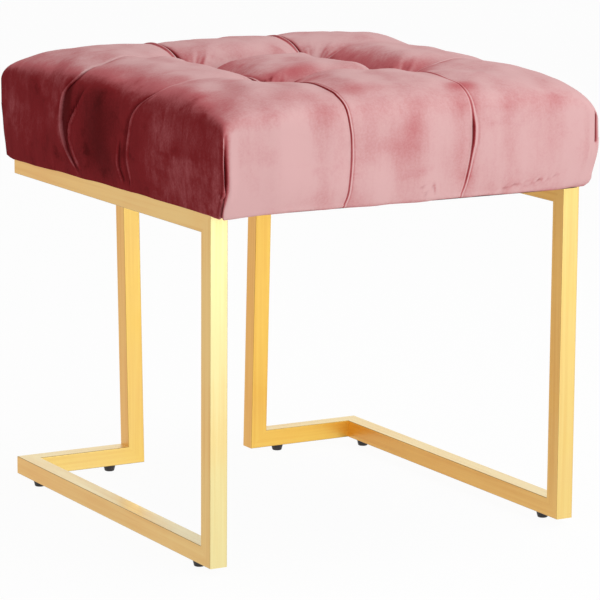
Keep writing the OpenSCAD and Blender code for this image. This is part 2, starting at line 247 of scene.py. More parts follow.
goldSet = {
    # each way a face looks, with its own painted light and shade: a warm tone, and a pale tone of painted
    # highlight
    "side": (colour(228, 174, 88), colour(226, 188, 116)),
    "front": (colour(248, 204, 98), colour(234, 220, 160)),
    "top": (colour(240, 216, 156), colour(240, 226, 180)),
    "highlightOver": (-0.42, 0.46),  # warm turns to the pale painted highlight between these, in metres towards the front left
    "streakTint": (0.95, 0.93, 0.90, 1.0),
    "wornTint": (1.0, 0.92, 0.84, 1.0),
    # colour of the painted shade along the rounded edges
    "edge": colour(132, 102, 50),
    "edgeShadeShare": (0.9, 0.9, 0.4),  # share of the painted edge shade on tubes along X, Y and Z
    "roughness": 0.38,
    "coat": 0.2,
    "coatRoughness": 0.12,
    "brush": 0.10,
    "drawn": 0.02,  # how fine the brushing is along the tube, as a share of across it
    "brushes": 1560.0,
    "streaks": 260.0,
    "cloud": 9.0,
}


# plated steel, brushed along the length of the tube: noise drawn out along one axis
def makeGold(name, axis, s):
    material, g = newMaterial(name)
    where = g.place()
    drawn = tuple(s["drawn"] if i == axis else 1.0 for i in range(3))
    brush = g.noise(g.stretch(where, drawn), s["brushes"], 4.0, 0.6)
    streak = g.noise(g.stretch(where, drawn), s["streaks"], 2.0, 0.5)
    cloud = g.noise(where, s["cloud"], 3.0, 0.5)
    # the three ways that a tube's faces look, each with its own painted light and shade, and so its own tone
    faces = g.add("ShaderNodeVectorMath", {"operation": "ABSOLUTE"}, {0: g.facing()})
    alongX, alongY, alongZ = g.parts(faces)
    x, y, _ = g.parts(where)
    # pale is the share of painted highlight, growing towards the front left
    pale = (0.5 * (cloud - 0.5) - x - y).ramp(*s["highlightOver"])
    side, front, top = (g.blend(pale, *s[way]) for way in ("side", "front", "top"))
    # painted light and shade by facing: sides darker, fronts brighter, tops palest
    tone = g.blend(alongY.ramp(0.3, 0.9), side, front)
    tone = g.blend(alongZ.ramp(0.3, 0.9), tone, top)
    tone = g.blend(streak.ramp(0.35, 0.75), tone, g.tint(1.0, tone, s["streakTint"], "MULTIPLY"))
    worn = (cloud * 0.7 + streak * 0.3).ramp(0.42, 0.66)
    tone = g.blend(worn, tone, g.tint(1.0, tone, s["wornTint"], "MULTIPLY"))
    flat = alongX.most(alongY).most(alongZ)
    edge = (1.0 - flat).ramp(0.01, 0.14)  # painted shade along the rounded long edges
    g.surface({
        "Base Color": g.blend(s["edgeShadeShare"][axis] * edge, tone, s["edge"]),
        "Metallic": 1.0,
        "Roughness": s["roughness"] + 0.10 * (streak - 0.5) + 0.10 * (cloud - 0.5) + 0.12 * edge,
        "Normal": g.bump(brush, s["brush"], 0.4 * mm),
        "Coat Weight": s["coat"],
        "Coat Roughness": s["coatRoughness"]})
    return material


zincSet = {
    "bright": colour(196, 198, 202),
    "dull": colour(160, 162, 168),
    "cloud": 180.0,
    "roughness": 0.28,
}


def makeZinc(s):
    material, g = newMaterial("zincSteel")
    cloud = g.noise(g.place(), s["cloud"], 4.0, 0.6)
    g.surface({
        "Base Color": g.blend(cloud.ramp(0.35, 0.7), s["bright"], s["dull"]),
        "Metallic": 1.0,
        "Roughness": s["roughness"] + 0.2 * cloud,
        "Normal": g.bump(cloud, 0.15, 0.3 * mm)})
    return material


glideSet = {
    "black": colour(36, 32, 35),
    "scuffed": colour(62, 56, 58),
    "grain": 900.0,
    "scuffs": 160.0,
    "roughness": 0.42,
}


def makeGlideBlack(s):
    material, g = newMaterial("glideBlack")
    where = g.place()
    grain = g.noise(where, s["grain"], 3.0, 0.6)
    scuff = g.noise(g.stretch(where, (1.0, 1.0, 3.0)), s["scuffs"], 4.0, 0.65)
    g.surface({
        "Base Color": g.blend(scuff.ramp(0.5, 0.75), s["black"], s["scuffed"]),
        "Roughness": s["roughness"] + 0.2 * scuff,
        "Normal": g.bump(grain, 0.25, 0.2 * mm)})
    return material


plywoodSet = {
    "light": colour(222, 190, 142),
    "dark": colour(188, 148, 98),
    "glue": colour(150, 106, 66),
    "glueShare": 0.35,
    "plies": 105.0,
    "grain": 9.0,
    "across": (30.0, 1.5, 30.0),  # the grain runs along Y
    "roughness": 0.62,
}


def makePlywood(s):
    material, g = newMaterial("plywood")
    where = g.place()
    plies = g.add("ShaderNodeTexWave", {"bands_direction": "Z"}, {
        "Vector": where, "Scale": s["plies"], "Distortion": 0.4, "Detail": 2.0, "Detail Scale": 8.0}, "Fac")
    grain = g.noise(g.stretch(where, s["across"]), s["grain"], 5.0, 0.6)
    tone = g.blend(grain.ramp(0.35, 0.7), s["light"], s["dark"])
    g.surface({
        "Base Color": g.blend(s["glueShare"] * plies, tone, s["glue"]),
        "Roughness": s["roughness"] + 0.2 * grain,
        "Normal": g.bump(grain, 0.3, 0.4 * mm)})
    return material


dustClothSet = {
    "dark": colour(30, 30, 33),
    "pale": colour(52, 52, 56),
    "fibres": 700.0,
    "welds": 420.0,
    "roughness": 0.82,
}


# non-woven cloth: pressed fibres with a grid of small weld points
def makeDustCloth(s):
    material, g = newMaterial("dustCloth")
    where = g.place()
    fibres = g.noise(where, s["fibres"], 5.0, 0.7)
    dots = g.add("ShaderNodeTexVoronoi", {"feature": "F1"}, {
        "Vector": g.stretch(where, (1.0, 1.0, 0.02)), "Scale": s["welds"], "Randomness": 0.15}, "Distance")
    press = dots.ramp(0.12, 0.35)
    g.surface({
        "Base Color": g.blend(fibres.ramp(0.3, 0.7), s["dark"], s["pale"]),
        "Roughness": s["roughness"] + 0.1 * fibres,
        "Normal": g.bump(fibres * 0.5 + press, 0.5, 0.3 * mm)})
    return material


twineSet = {
    "pale": colour(236, 230, 214),
    "shade": colour(196, 186, 164),
    "turns": 260.0,
    "roughness": 0.7,
}


def makeTwine(s):
    material, g = newMaterial("tuftingTwine")
    lay = g.add("ShaderNodeTexWave", {"bands_direction": "DIAGONAL"}, {
        "Vector": g.place(), "Scale": s["turns"], "Distortion": 0.6, "Detail": 2.0}, "Fac")
    g.surface({
        "Base Color": g.blend(lay, s["pale"], s["shade"]),
        "Roughness": s["roughness"] - 0.1 * lay,
        "Normal": g.bump(lay, 0.6, 0.4 * mm)})
    return material


def dress(names, material):
    for name in names:
        node = nodes[name]
        node.data.materials.clear()
        node.data.materials.append(material)


tubeAxis = {"front_leg": 2, "back_leg": 2, "floor_rail": 1, "seat_rail": 1,
            "back_floor_rail": 0, "back_seat_rail": 0}
gold = [makeGold("goldAlong" + letter, i, goldSet) for i, letter in enumerate("XYZ")]
glides = [f"{side}_{spot}" for side in ("left", "right") for spot in ("front", "corner", "leg")]
for side in ("left", "right"):
    for tube, axis in tubeAxis.items():
        dress([f"{side}_{tube}"], gold[axis])
    dress([f"{side}_seat_tabs"], gold[1])
dress([f"{glide}_pad" for glide in glides] + ["tuft_discs"], makeGlideBlack(glideSet))
dress([f"{glide}_stud" for glide in glides]
      + ["glide_inserts", "seat_screws", "seat_washers", "tee_nuts", "dust_staples"], makeZinc(zincSet))
dress(["seat_board"], makePlywood(plywoodSet))
dress(["dust_cover"], makeDustCloth(dustClothSet))
dress(["tuft_twines"], makeTwine(twineSet))
print("stage: finishes of the frame and hardware")

velvetSet = {
    "darkest": colour(92, 20, 22),
    "deep": colour(136, 38, 42),
    "body": colour(186, 100, 104),
    "pale": colour(210, 167, 167),
    "foldShade": colour(86, 14, 20),
    "roughness": 0.72,
    "specular": 0.02,
    "sheen": 0.015,
    "sheenRoughness": 0.35,
    "sheenTint": colour(255, 216, 214),
    # how light the pile looks, as painted light and shade by facing: of itself, and what a look to the right,
    # to the back and upwards adds
    "napAndLight": 0.57,
    "toRight": 0.52,
    "toBack": -0.33,
    "toTop": 0.32,
    "backFromTop": 0.30,
    "calmer": 0.55,  # how much smoother the sides in full light look
    "leftCalmer": 0.6,  # how much less the painted light and shade of the fold slopes shows on the sides that face left
    "scales": {"patch": 14.0, "cloud": 6.0, "streak": 170.0, "grain": 430.0, "smudge": 18.0, "mottle": 62.0,
               "pile": 2600.0, "weave": 900.0},
    "shares": {"patch": 0.28, "cloud": 0.34, "streak": 0.16, "grain": 0.20, "smudge": 0.25, "mottle": 0.34,
               "foldShade": 0.30, "ridgeHighlight": 0.22},
}


# short pile: its tone follows the way the surface faces, as painted light and shade, broken by patches of the
# nap
def makeVelvet(name, s):
    material, g = newMaterial(name)
    where = g.place()
    scale, share = s["scales"], s["shares"]
    lay = g.mark("lay", "Vector")
    right, back, top = g.parts(lay)
    patch = g.noise(g.stretch(where, (1.0, 1.0, 1.5), (0.3, 0.5, 0.4)), scale["patch"], 5.0, 0.6, 0.4)
    cloud = g.noise(where, scale["cloud"], 2.0, 0.5, 0.3)
    streak = g.noise(g.stretch(where, (1.0, 1.0, 0.12)), scale["streak"], 3.0, 0.6)
    grain = g.noise(where, scale["grain"], 2.0, 0.6)
    smudge = g.noise(g.stretch(where, (1.0, 1.4, 2.0), (0.2, 0.6, 0.3)), scale["smudge"], 4.0, 0.55, 0.15)
    mottle = g.noise(g.stretch(where, (1.0, 1.0, 0.55), (0.2, 0.3, 0.5)), scale["mottle"], 4.0, 0.65, 0.3)
    foldShade, ridgeHighlight, brushedAndShade = g.mark("foldShade"), g.mark("ridgeHighlight"), g.mark("brushedAndShade")
    # painted light and shade: 0 where the surface is turned away from the light, 1 where it faces it
    napAndLight = s["napAndLight"] + s["toRight"] * right + s["toBack"] * back + s["toTop"] * top * top.most(0.0)
    lively = 1.0 - s["calmer"] * napAndLight.ramp(0.5, 1.0)
    napAndLight = napAndLight + lively * (share["cloud"] * (cloud - 0.5) + share["patch"] * (patch - 0.5))
    napAndLight = napAndLight + share["streak"] * (streak - 0.5) + share["grain"] * (grain - 0.5)
    napAndLight = napAndLight - share["smudge"] * lively * smudge.ramp(0.52, 0.82) * (0.5 + streak)
    napAndLight = napAndLight + share["mottle"] * lively * (mottle - 0.5)
    # painted shade in the folds, painted highlight on their ridges
    napAndLight = napAndLight - share["foldShade"] * foldShade + share["ridgeHighlight"] * ridgeHighlight
    # darker where the pile was brushed the other way, and where painted shade lies between folds
    napAndLight = napAndLight - brushedAndShade * (0.3 + 0.3 * streak + 0.6 * (patch - 0.45) + 0.4 * (mottle - 0.45))
    # painted light on faces that look to the front and up
    napAndLight = napAndLight + s["backFromTop"] * (back * top).least(0.0)
    # painted light and shade on the slopes of the folds: lighter where the surface turns right, to the front
    # and up from the way that the cover lies round them
    tilt = g.add("ShaderNodeVectorMath", {"operation": "SUBTRACT"}, {0: g.facing(), 1: lay})
    tiltX, tiltY, tiltZ = g.parts(tilt)
    lit = 1.0 + s["leftCalmer"] * right.least(0.0)
    napAndLight = napAndLight + lit * (0.8 * tiltX - 0.4 * tiltY + 0.3 * tiltZ)
    tone = g.blend(napAndLight.ramp(-0.30, 0.08), s["darkest"], s["deep"])
    tone = g.blend(napAndLight.ramp(0.04, 0.5), tone, s["body"])
    tone = g.blend(napAndLight.ramp(0.42, 1.0), tone, s["pale"])
    pile = g.noise(where, scale["pile"], 2.0, 0.6)
    weave = g.noise(where, scale["weave"], 3.0, 0.6)
    g.surface({
        # the creases take the colour of painted shade
        "Base Color": g.blend(foldShade.ramp(0.1, 1.0, 0.0, 0.85), tone, s["foldShade"]),
        "Roughness": s["roughness"] + 0.12 * patch,
        "Normal": g.bump(pile * 0.5 + weave * 0.5, 0.22, 0.4 * mm),
        "Specular IOR Level": s["specular"],
        "Sheen Weight": s["sheen"],
        "Sheen Roughness": s["sheenRoughness"],
        "Sheen Tint": s["sheenTint"]})
    return material


velvet = makeVelvet("velvet", velvetSet)
dress(["tuft_buttons"], velvet)
print("stage: velvet")

coverLow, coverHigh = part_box("velvet_cover")
cushion = {
    "halfX": coverHigh.x,
    "halfY": coverHigh.y,
    "base": coverLow.z,
    "belly": coverLow.z + 55.4 * mm,  # level of the widest line
    "crown": coverLow.z + 143 * mm,  # level of the dome's top before the tufts and the lifts
    "domePower": 1 / 6.5,
    "cornerFull": 4.0,  # how the full corners are rounded: higher is squarer
    "fullCorners": {(-1, -1): 0.7, (1, -1): 0.3, (1, 1): 1.0, (-1, 1): 1.0},  # shares, by sign of X and Y
    "fullGrow": 1.6,  # how soon a full corner takes over from the middle outwards
    # the sides narrow from the belly line down to the rail, less on the left
    "drawIn": 9 * mm,
    "drawInLeft": 3 * mm,
    "drawPower": 2.5,
    "cornerPull": 0.018,  # share by which the corners draw in
    "pullPower": 9,
    "tuftAt": 0.333,  # share of each half at which the tufts and creases stand
    "tuftDepth": 38 * mm,
    "tuftReach": 26 * mm,
    "valleyDepth": 24 * mm,
    "valleyReach": 20 * mm,
    "valleyKept": 0.10,  # share of a valley's depth that is left outside the tufts
    "keptReach": 42 * mm,
    "bothDeeper": 0.15,  # share of the shallower one of valley and pit that is added to the deeper
    "fallPower": 1.5,
    "sideDepth": 1.5 * mm,
    "sideReach": 9 * mm,
    "sideFrom": 0.9,  # share of the half from which a point belongs to a side
    "startSmaller": 2 * mm,  # room that the cover leaves for the cloth and the folds
    "hem": 26 * mm,
    "hemTurn": (20, 40, 65, 90),  # degrees at which the rounded lower edge has a ring
    "hemRings": ((0.4, 0.0), (1.0, 0.0), (1.0, 1.2 * mm)),  # share of the hem, and lift
    "hemPower": 9,
    # radius of the lower edge: over the rails, where it hangs free, and at each corner
    "roundAtRail": 1.6 * mm,
    "roundFree": 5 * mm,
    "roundCorner": {(-1, -1): 5 * mm, (1, -1): 16 * mm, (1, 1): 6 * mm, (-1, 1): 1.5 * mm},
    "cornerSpread": 34 * mm,
    # the lower edge isn't level: X and lift, and Y and lift, all in mm
    "frontEdge": [(-239, -2.6), (-215, -1.6), (-170, 0), (-110, 0.1), (-60, 0.2), (0, 0.3), (239, 0.3)],
    "frontFrom": 236 * mm,
    "frontFade": 20 * mm,
    "leftEdge": [(-268, 0.0), (-245, -0.8), (-150, -1.2), (0, -2.2), (150, -4.0), (248, -5.0), (258, -4.0),
                 (274, 0.0)],
    "leftHang": -234.7 * mm,  # X of the velvet where it hangs over the rail
    "leftFold": 1.3 * mm,  # how far behind that the turned hem stays
    # corners that stand out further than the others: moves along X and Y in mm, how far the move spreads over
    # the plan, its share above the belly line and at the rail
    "cornersOut": {(-1, 1): (-4.0, 3.0, 0.45, 0.8, 0.4), (-1, -1): (-7.0, 0.0, 0.2, 0.5, 0.2)},
    # fullness of the top: place u, v, spread each way, lift in mm
    "lifts": [(-0.1, -0.05, 0.55, 0.48, -13.0), (-0.5, -0.1, 0.25, 0.35, -3.0), (0.3, -0.55, 0.3, 0.2, -4.0),
              (-0.45, -0.55, 0.3, 0.2, -5.5), (0.15, 0.1, 0.3, 0.25, -5.0), (-0.26, 0.2, 0.13, 0.2, -8.0),
              (-0.34, -0.12, 0.08, 0.16, 10.0),
              (0.97, 0.50, 0.12, 0.22, 8.0), (0.80, 0.72, 0.2, 0.3, 4.0), (0.0, 0.78, 0.30, 0.22, -1.5),
              (0.55, 0.9, 0.2, 0.2, -2.0), (-0.95, 0.85, 0.15, 0.25, -2.2), (-0.3, 0.9, 0.2, 0.25, -1.5),
              (-0.32, 0.92, 0.10, 0.2, -2.2), (0.70, 0.92, 0.16, 0.2, -1.8), (0.95, 0.68, 0.12, 0.12, 2.4),
              (0.9, -0.55, 0.16, 0.2, 2.5), (0.8, 0.0, 0.15, 0.25, 1.0)],
}
clothSet = {
    "spacing": 9 * mm,
    "sideRings": 7,
    "pressure": 3.0,
    "frames": 20,
    "grow": -0.008,
    "cap": 9 * mm,  # the furthest that a point may move
    "stiffness": 15.0,
    "bending": 3.0,
    "mass": 0.25,
    "quality": 6,
    "damping": 2.0,
    "evened": 2,  # times that the moves are evened out
    # hold of the outer creases, by side and sign
    "outerHold": {("front", -1): 0.15, ("front", 1): 0.15, ("left", -1): 0.03, ("left", 1): 0.10,
                  ("right", -1): 0.08, ("right", 1): 0.12, ("back", -1): 0.3, ("back", 1): 0.3},
    "pastTuft": 30 * mm,  # how far past the tufts a crease is held in full
    "tuftHold": 12 * mm,
    "sideHold": 0.2,
    "railFrom": 0.55,  # share of the way down from which the side is held, and over how much more it grows
    "railOver": 0.4,
    # share of the blowing up kept: left, middle, right in each row, from the back to the front
    "kept": [(0.5, 0.1, 0.7), (0.2, 0.4, 0.15), (0.25, 0.1, 0.35)],
}
fineSet = {
    "spacing": 5.5 * mm,
    "medium": 1.9 * mm,
    "mediumHalf": 56 * mm,
    "fine": 0.75 * mm,
    "fineHalf": 7 * mm,
    "corner": 1.0 * mm,
    "cornerHalf": 14 * mm,
    "ringStep": 3.4 * mm,
}
arcSet = {"steps": 6001, "crowding": 7}


# arc length from the middle of one axis over the dome down to the belly, and the share u at each length;
# the steps crowd at the end, where the dome is steep
def profileArc(half, c):
    rest = np.linspace(1.0, 0.0, arcSet["steps"]) ** arcSet["crowding"]  # 1 - u squared
    u = np.sqrt(1.0 - rest)
    x, z = half * u, (c["crown"] - c["belly"]) * rest ** c["domePower"]
    s = np.concatenate([[0.0], np.cumsum(np.hypot(np.diff(x), np.diff(z)))])
    return s, u


# grid lines of one axis as signed arc lengths, closer near the creases and near the corners
class Lines:
    def __init__(self, half, c, steps):
        s, u = profileArc(half, c)
        tuftAt = c["tuftAt"]
        self.total = s[-1]
        self.crease = np.interp(tuftAt, u, s)
        stops = [0.0]
        for end, step in steps(self.crease, self.total):
            count = max(1, int(round((end - stops[-1]) / step)))
            stops += list(np.linspace(stops[-1], end, count + 1)[1:])
        positive = np.array(stops)
        self.s = np.concatenate([-positive[:0:-1], positive])
        self.count = len(self.s)
        length = np.abs(self.s)
        self.over = np.sign(self.s) * np.interp(length, s, u)  # share on a section through the middle
        past = (length - self.crease) / (self.total - self.crease)
        even = np.where(past > 0, tuftAt + (1 - tuftAt) * past, tuftAt * length / self.crease)
        self.even = np.sign(self.s) * even  # share along the belly line

    # how far a line has turned from the section's spacing to the even spacing of the belly line
    def turned(self):
        q = np.clip((np.abs(self.s) / self.total - 0.5) / 0.5, 0, 1)
        return q * q * (3 - 2 * q)


def coarseSteps(crease, total):
    step = clothSet["spacing"]
    return [(crease, step), (total, step)]


def fineSteps(crease, total):
    f = fineSet
    return [(crease - f["mediumHalf"], f["spacing"]), (crease - f["fineHalf"], f["medium"]),
            (crease + f["fineHalf"], f["fine"]), (crease + f["mediumHalf"], f["medium"]),
            (total - f["cornerHalf"], f["spacing"]), (total, f["corner"])]


# sideways wander of the creases, from the hem to the tuft: height up the cover from its hem, and shift, in mm
wander = {
    ("front", -1): [(0, -14.5), (11, -11), (31, -9), (56, -7), (78, -9), (99, -12), (120, -12), (150, -9),
                    (230, 0)],
    ("front", 1): [(0, -20), (8, -18), (15, -17), (31, -15.5), (50, -14), (64, -12), (81, -11), (96, -12),
                   (112, -12), (135, -11.5), (150, -11), (200, -6), (270, 0)],
    ("left", -1): [(0, 36), (15, 37), (38, 42), (60, 40), (78, 34), (96, 19), (115, -7), (140, -12),
                   (200, 0)],
    ("left", 1): [(0, -24), (22, 5), (41, 14), (56, 17), (74, 17), (93, 10), (113, -11), (140, -8),
                  (200, 0)],
    ("right", -1): [(0, 14), (30, 6), (60, 2), (100, 8), (140, 8), (220, 0)],
    ("right", 1): [(0, -22), (25, -12), (60, -6), (100, -10), (140, -8), (220, 0)],
    ("back", -1): [(0, 10), (30, 4), (60, 3), (100, 9), (140, 7), (220, 0)],
    ("back", 1): [(0, 18), (35, 10), (70, 9), (110, 14), (150, 9), (230, 0)],
}
wanderReach = {"front": 0.30, "back": 0.30, "left": 0.31, "right": 0.31}


# smooth curve through values at uneven knots (cubic pieces whose slopes are weighted differences)
def curveThrough(values, knots, at):
    h = np.diff(knots)
    shape = (-1,) + (1,) * (values.ndim - 1)
    rise = np.diff(values, axis=0) / h.reshape(shape)
    slope = np.empty_like(values)
    before, after = h[:-1].reshape(shape), h[1:].reshape(shape)
    slope[1:-1] = (rise[:-1] * after + rise[1:] * before) / (after + before)
    slope[0], slope[-1] = rise[0], rise[-1]
    k = np.clip(np.searchsorted(knots, at, side="right") - 1, 0, len(h) - 1)
    w = ((at - knots[k]) / h[k]).reshape(shape)
    step = h[k].reshape(shape)
    return ((1 + 2 * w) * (1 - w) ** 2 * values[k] + w * (1 - w) ** 2 * step * slope[k]
            + w * w * (3 - 2 * w) * values[k + 1] + w * w * (w - 1) * step * slope[k + 1])


def tableValue(table, height):
    at = np.array(table, float) * mm
    height = np.clip(height, at[0, 0], at[-1, 0])
    return curveThrough(at[:, 1:], at[:, 0], height.ravel()).reshape(height.shape)


# plan shares after the creases have wandered: each line moves by its table, fading with distance from it
def wandered(u, v, upX, upY):
    du, dv = np.zeros_like(u), np.zeros_like(v)
    for (face, which), table in wander.items():
        onX = face in ("left", "right")
        across, along = (v, u) if onX else (u, v)
        up = upX if onX else upY
        half = cushion["halfY"] if onX else cushion["halfX"]
        mine = along < 0 if face in ("front", "left") else along > 0
        near = np.clip(1 - ((across - which * cushion["tuftAt"]) / wanderReach[face]) ** 2, 0, 1) ** 2
        shift = np.where(mine, tableValue(table, up), 0.0) * near / half
        if onX:
            dv += shift
        else:
            du += shift
    return u + du, v + dv


def creaseFall(distance, reach):
    return np.exp(-np.abs(distance / reach) ** cushion["fallPower"])


# depth of valleys and tufts at the grid shares u, v: each valley falls off with distance from its line,
# full between the tufts and shallower beyond them, and each tuft is a rounded pit
def valleys(u, v, c):
    du = (np.abs(u) - c["tuftAt"]) * c["halfX"]
    dv = (np.abs(v) - c["tuftAt"]) * c["halfY"]
    keepU = c["valleyKept"] + (1 - c["valleyKept"]) * np.exp(-(np.maximum(0, du) / c["keptReach"]) ** 2)
    keepV = c["valleyKept"] + (1 - c["valleyKept"]) * np.exp(-(np.maximum(0, dv) / c["keptReach"]) ** 2)
    lineU = creaseFall(du, c["valleyReach"]) * keepV
    lineV = creaseFall(dv, c["valleyReach"]) * keepU
    valley = c["valleyDepth"] * np.maximum(lineU, lineV)
    pit = c["tuftDepth"] * np.exp(-((du * du + dv * dv) / c["tuftReach"] ** 2) ** (c["fallPower"] / 2))
    return np.maximum(valley, pit) + c["bothDeeper"] * np.minimum(valley, pit)


# share of the dome's height at u, v: the 6.5th root of (1 - u squared)(1 - v squared), and at the full
# corners a squarer dome, whose two axes are joined by the fourth power
def domeShare(u, v, c):
    power = -c["domePower"] * c["cornerFull"]
    alongU = np.clip(1 - u ** 2, 1e-9, 1) ** power
    alongV = np.clip(1 - v ** 2, 1e-9, 1) ** power
    squarer = (alongU + alongV - 1) ** (-1 / c["cornerFull"])
    plain = np.clip((1 - u ** 2) * (1 - v ** 2), 0, 1) ** c["domePower"]
    grow = c["fullGrow"]
    share = sum(full * np.clip(sx * u * grow, 0, 1) * np.clip(sy * v * grow, 0, 1)
                for (sx, sy), full in c["fullCorners"].items())
    return plain + share * (squarer - plain)


# height up the cover from its hem, measured along the cloth, by the share of one axis and the drop
def upHeight(share, half, drop, c):
    s, u = profileArc(half, c)
    return (c["belly"] - c["base"]) - drop + s[-1] - np.interp(np.abs(share), u, s)


# the cover before it is blown up. Over the top the height is the belly plus the dome, less the valleys, plus
# the lifts. Down the sides it narrows with the power 2.5 of the drop.
def coverPoints(u, v, drop, smaller, c):
    height = c["belly"] - c["base"]
    down = drop / height
    wu, wv = wandered(u, v, upHeight(u, c["halfX"], drop, c), upHeight(v, c["halfY"], drop, c))
    drawn = np.clip(down, 0, None) ** c["drawPower"]
    insetX = smaller + np.where(wu < 0, c["drawInLeft"], c["drawIn"]) * drawn
    insetY = smaller + c["drawIn"] * drawn
    onX = creaseFall((np.abs(v) - c["tuftAt"]) * c["halfY"], c["sideReach"]) * (np.abs(u) > c["sideFrom"])
    onY = creaseFall((np.abs(u) - c["tuftAt"]) * c["halfX"], c["sideReach"]) * (np.abs(v) > c["sideFrom"])
    wall = c["sideDepth"] * np.clip(0.85 + 0.3 * down, 0, 1)
    x = (c["halfX"] - insetX - wall * onX) * wu * (1 - c["cornerPull"] * np.abs(wv) ** c["pullPower"])
    y = (c["halfY"] - insetY - wall * onY) * wv * (1 - c["cornerPull"] * np.abs(wu) ** c["pullPower"])
    dome = domeShare(wu, wv, c)
    edge = np.clip(6 * (1 - np.maximum(np.abs(wu), np.abs(wv))), 0, 1)  # the valleys end short of the edge
    top = c["belly"] + (c["crown"] - smaller - c["belly"]) * dome - edge * valleys(u, v, c)
    for atU, atV, spreadU, spreadV, lift in c["lifts"]:
        near = np.exp(-((wu - atU) / spreadU) ** 2 - ((wv - atV) / spreadV) ** 2)
        top = top + lift * mm * near * np.minimum(1, 2 * dome)
    z = np.where(drop > 0, c["belly"] - drop, top)
    for (atX, atY), (outX, outY, spread, above, atRail) in c["cornersOut"].items():
        near = np.clip(1 - ((wu - atX) / spread) ** 2, 0, 1) * np.clip(1 - ((wv - atY) / spread) ** 2, 0, 1)
        near = near * (above + (atRail - above) * np.clip(down, 0, 1))
        x = x + outX * mm * near
        y = y + outY * mm * near
    return np.stack([x, y, z], -1)


# both grids of the cover: the top, and rings below the belly line round the outline
class CoverGrid:
    def __init__(self, steps, ringDrops):
        c = cushion
        self.x, self.y = Lines(c["halfX"], c, steps), Lines(c["halfY"], c, steps)
        ni, nj = self.x.count, self.y.count
        wx, wy = self.x.turned(), self.y.turned()
        # shares over the top: the spacing of each axis turns even towards the other axis' ends
        self.u = self.x.over[:, None] * (1 - wy[None, :]) + self.x.even[:, None] * wy[None, :]
        self.v = self.y.over[None, :] * (1 - wx[:, None]) + self.y.even[None, :] * wx[:, None]
        index = np.arange(ni * nj).reshape(ni, nj)
        self.index = index
        self.rim = np.concatenate([index[:-1, 0], index[-1, :-1], index[:0:-1, -1], index[0, :0:-1]])
        sx, sy = self.x.s, self.y.s
        self.round = np.concatenate([sx[:-1] - sx[0], 2 * sx[-1] + sy[:-1] - sy[0],
                                     2 * sx[-1] + 2 * sy[-1] + sx[-1] - sx[:0:-1],
                                     4 * sx[-1] + 2 * sy[-1] + sy[-1] - sy[:0:-1]])
        self.roundTotal = 4 * sx[-1] + 4 * sy[-1]
        self.rimU, self.rimV = self.u.ravel()[self.rim], self.v.ravel()[self.rim]
        self.drops = np.array(ringDrops)
        self.shapeTop, self.shapeSide = (ni, nj), (len(ringDrops), len(self.rim))
        # radius of the lower edge: small where the cover rests on a rail, larger in front and behind, and
        # each corner's own
        toX, toY = (1 - np.abs(self.rimU)) * c["halfX"], (1 - np.abs(self.rimV)) * c["halfY"]
        near = np.exp(-((toX + toY) / c["cornerSpread"]) ** 2)
        plain = np.where(toX < toY, c["roundAtRail"], c["roundFree"])
        own = sum(radius * (np.sign(self.rimU) == signX) * (np.sign(self.rimV) == signY)
                  for (signX, signY), radius in c["roundCorner"].items())
        self.lowerRound = plain + (own - plain) * near * (own > 0)

    def points(self, smaller):
        top = coverPoints(self.u, self.v, np.zeros(self.shapeTop), smaller, cushion)
        height = cushion["belly"] - cushion["base"]
        drops = self.drops[:, None] * (height - self.lowerRound[None, :]) / height
        u = np.broadcast_to(self.rimU[None, :], self.shapeSide)
        v = np.broadcast_to(self.rimV[None, :], self.shapeSide)
        return top, coverPoints(u, v, drops, smaller, cushion)

    # quads over the top, then between the rim and each ring; extra rings may follow the side's
    def faces(self, extraRings=0):
        a = self.index
        top = np.stack([a[:-1, :-1], a[1:, :-1], a[1:, 1:], a[:-1, 1:]], -1).reshape(-1, 4)
        n, first = len(self.rim), a.size
        rings = [self.rim] + [first + k * n + np.arange(n) for k in range(self.shapeSide[0] + extraRings)]
        sides = [np.stack([np.roll(up, -1), up, down, np.roll(down, -1)], -1)
                 for up, down in zip(rings[:-1], rings[1:])]
        return np.concatenate([top] + sides), rings[-1]


# the quads of a cover and the face that closes it below, as a mesh piece
def coverPiece(name, points, faces, lastRing):
    return meshPiece(name, points, faces.tolist() + [lastRing[::-1].tolist()])


